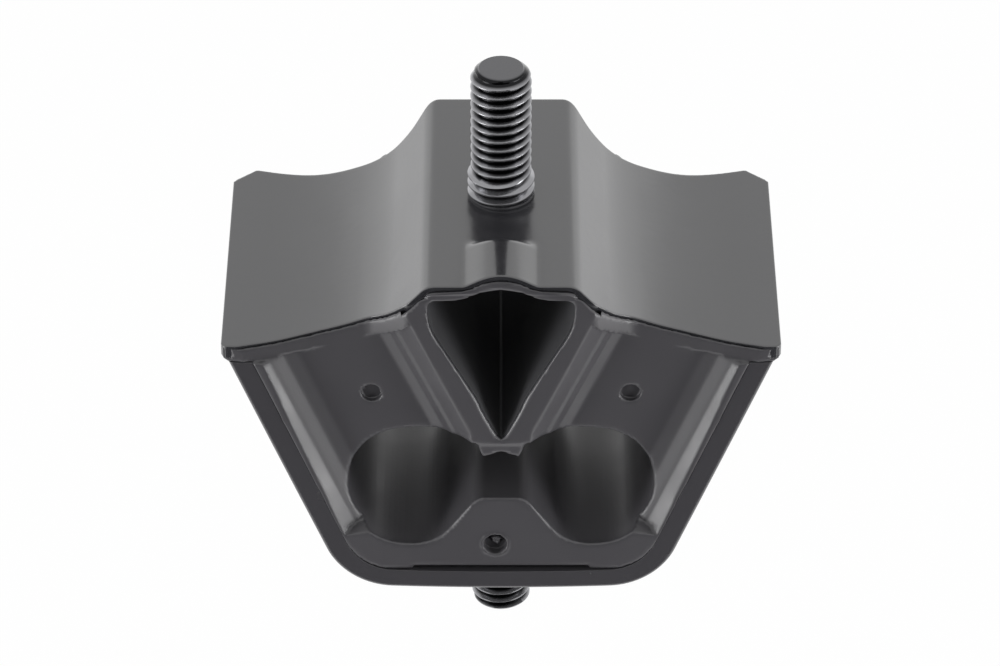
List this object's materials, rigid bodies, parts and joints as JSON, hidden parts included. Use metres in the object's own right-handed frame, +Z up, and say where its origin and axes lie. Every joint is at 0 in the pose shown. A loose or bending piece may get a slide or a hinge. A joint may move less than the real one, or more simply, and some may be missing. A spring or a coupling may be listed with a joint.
{
  "type": "engine mount",
  "caption": "Bonded rubber engine mount: a winged steel plate with a V-shaped bracket under it, held by a rubber block in a pressed steel pan, with a stud on each side.",
  "frame": {"origin": "on the common axis of the two studs, at the flat underside of the pan", "axes": "+Z up along the studs, out of the winged plate; +X across the wings; +Y to the back, and the dart in the plate's edge is at the front"},
  "size_m": [0.0986, 0.0636, 0.1174],
  "materials": {
    "black_plate": "semi-gloss black paint",
    "black_pan": "semi-gloss black paint",
    "dark_stud": "dark oiled phosphate",
    "rubber": "moulded, satin"
  },
  "bodies": {
    "root": {"top_plate": "black_plate", "wedge_bracket": "black_plate", "rubber_body": "rubber", "lower_pan": "black_pan", "upper_stud": "dark_stud", "lower_stud": "dark_stud"}
  },
  "joints": []
}
